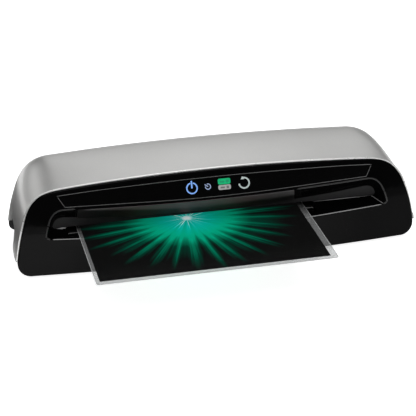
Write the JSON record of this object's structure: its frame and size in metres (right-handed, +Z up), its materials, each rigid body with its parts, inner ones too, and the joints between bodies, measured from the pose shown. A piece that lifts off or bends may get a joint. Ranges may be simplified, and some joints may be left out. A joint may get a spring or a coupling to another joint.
{
  "type": "pouch laminator",
  "caption": "Desktop pouch laminator with a silver cover, glossy black bowed front, recessed exit slot, touch panel, folding rear input tray and a pouch part-way out.",
  "frame": {"origin": "middle of the overall box at table level, the pouch that stands out in front counted in the box", "axes": "+X along the machine's long side to the right as seen from the exit side, +Y to the rear (entry side), +Z up"},
  "size_m": [0.5344, 0.2928, 0.1287],
  "materials": {
    "gloss_black": "high gloss moulded black",
    "matte_black": "fine-textured black moulding",
    "dark_grey": "satin dark grey moulding",
    "deflector_grey": "satin grey",
    "silver_paint": "silver lacquer on a moulded cover, satin",
    "lens_black": "smoked gloss window",
    "icon_blue": "lit light-blue symbol",
    "icon_pale": "pale blue-grey symbol",
    "icon_grey": "grey symbol",
    "window_green": "lit green status window",
    "window_grey": "light grey status window",
    "foot_rubber": "moulded rubber",
    "steel_plate": "zinc-plated sheet steel",
    "steel_bright": "ground steel",
    "silicone": "red-brown silicone rubber",
    "gear_white": "natural acetal",
    "bush_brown": "brown high-temperature plastic",
    "alu": "extruded aluminium",
    "mica": "mica strip",
    "ceramic_white": "unglazed ceramic",
    "thermo_body": "phenolic body with a metal cap",
    "guide_black": "heat-proof black plastic",
    "motor_zinc": "zinc-plated motor case",
    "pcb_green": "solder-masked board with parts",
    "switch_black": "moulded switch",
    "switch_rocker": "moulded rocker",
    "film_clear": "clear laminating film",
    "paper_print": "printed sheet, dark with a green ray burst"
  },
  "bodies": {
    "case": {"front_bezel": "gloss_black", "exit_slot_frame": "dark_grey", "hood_deflector": "deflector_grey", "panel_lens": "lens_black", "icon_power": "icon_blue", "icon_timer": "icon_pale", "status_window_upper": "window_green", "status_window_lower": "window_grey", "icon_reverse": "icon_grey", "top_cover": "silver_paint", "rear_cover": "matte_black", "mains_inlet": "switch_black", "rocker_housing": "switch_black", "base_tray": "matte_black", "rubber_feet": "foot_rubber", "case_screws": "steel_plate", "grip_liner_left": "matte_black", "grip_liner_right": "matte_black", "side_frame_left": "steel_plate", "side_frame_right": "steel_plate", "tie_rods": "steel_bright", "top_crossbar": "steel_plate", "idler_stud": "steel_bright", "bushings_hot": "bush_brown", "bushings_exit": "bush_brown", "nip_springs": "steel_bright", "hot_shoe_upper": "alu", "hot_shoe_lower": "alu", "strip_heaters": "mica", "shoe_mounts": "ceramic_white", "thermostats": "thermo_body", "thermal_fuse": "ceramic_white", "entry_guide_lower": "guide_black", "entry_guide_upper": "guide_black", "mid_guide_lower": "guide_black", "mid_guide_upper": "guide_black", "exit_guide_lower": "guide_black", "motor_plate": "steel_plate", "gear_motor": "motor_zinc", "power_board": "pcb_green", "control_board": "pcb_green"},
    "hot_upper": {"hot_upper_shaft": "steel_bright", "hot_upper_sleeve": "silicone", "hot_upper_gear": "gear_white"},
    "hot_lower": {"hot_lower_shaft": "steel_bright", "hot_lower_sleeve": "silicone", "hot_lower_gear": "gear_white"},
    "exit_upper": {"exit_upper_shaft": "steel_bright", "exit_upper_sleeve": "silicone", "exit_upper_gear": "gear_white"},
    "exit_lower": {"exit_lower_shaft": "steel_bright", "exit_lower_sleeve": "silicone", "exit_lower_gear": "gear_white"},
    "idler": {"idler_gear": "gear_white"},
    "pinion": {"motor_pinion": "steel_bright"},
    "tray": {"input_tray": "matte_black"},
    "rocker": {"rocker_button": "switch_rocker"},
    "pouch": {"pouch_film": "film_clear", "document": "paper_print"}
  },
  "joints": [
    {"name": "hot_lower_spin", "type": "hinge", "parent": "case", "child": "hot_lower", "pos_m": [0, 0.08855, 0.0426], "axis": [1, 0, 0], "continuous": true},
    {"name": "hot_upper_spin", "type": "hinge", "parent": "case", "child": "hot_upper", "pos_m": [0, 0.08855, 0.0654], "axis": [1, 0, 0], "continuous": true},
    {"name": "exit_lower_spin", "type": "hinge", "parent": "case", "child": "exit_lower", "pos_m": [0, 0.04255, 0.0444], "axis": [1, 0, 0], "continuous": true},
    {"name": "exit_upper_spin", "type": "hinge", "parent": "case", "child": "exit_upper", "pos_m": [0, 0.04255, 0.0636], "axis": [1, 0, 0], "continuous": true},
    {"name": "idler_spin", "type": "hinge", "parent": "case", "child": "idler", "pos_m": [0, 0.06421, 0.03406], "axis": [1, 0, 0], "continuous": true},
    {"name": "pinion_spin", "type": "hinge", "parent": "case", "child": "pinion", "pos_m": [0, 0.10603, 0.03624], "axis": [1, 0, 0], "continuous": true},
    {"name": "pouch_feed", "type": "slide", "parent": "case", "child": "pouch", "axis": [0, -1, 0], "range_m": [-0.055, 0.2]},
    {"name": "tray_fold", "type": "hinge", "parent": "case", "child": "tray", "pos_m": [0, 0.14485, 0.046], "axis": [-1, 0, 0], "range_deg": [0, 90]},
    {"name": "rocker_tilt", "type": "hinge", "parent": "case", "child": "rocker", "pos_m": [0, 0.13955, 0.0495], "axis": [1, 0, 0], "range_deg": [-8, 8]}
  ],
  "couplings": [
    {"joint": "hot_upper_spin", "follows": "hot_lower_spin", "ratio": -1},
    {"joint": "idler_spin", "follows": "hot_lower_spin", "ratio": -0.79167},
    {"joint": "exit_lower_spin", "follows": "hot_lower_spin", "ratio": 1.1875},
    {"joint": "exit_upper_spin", "follows": "hot_lower_spin", "ratio": -1.1875},
    {"joint": "pinion_spin", "follows": "hot_lower_spin", "ratio": -1.5833}
  ]
}
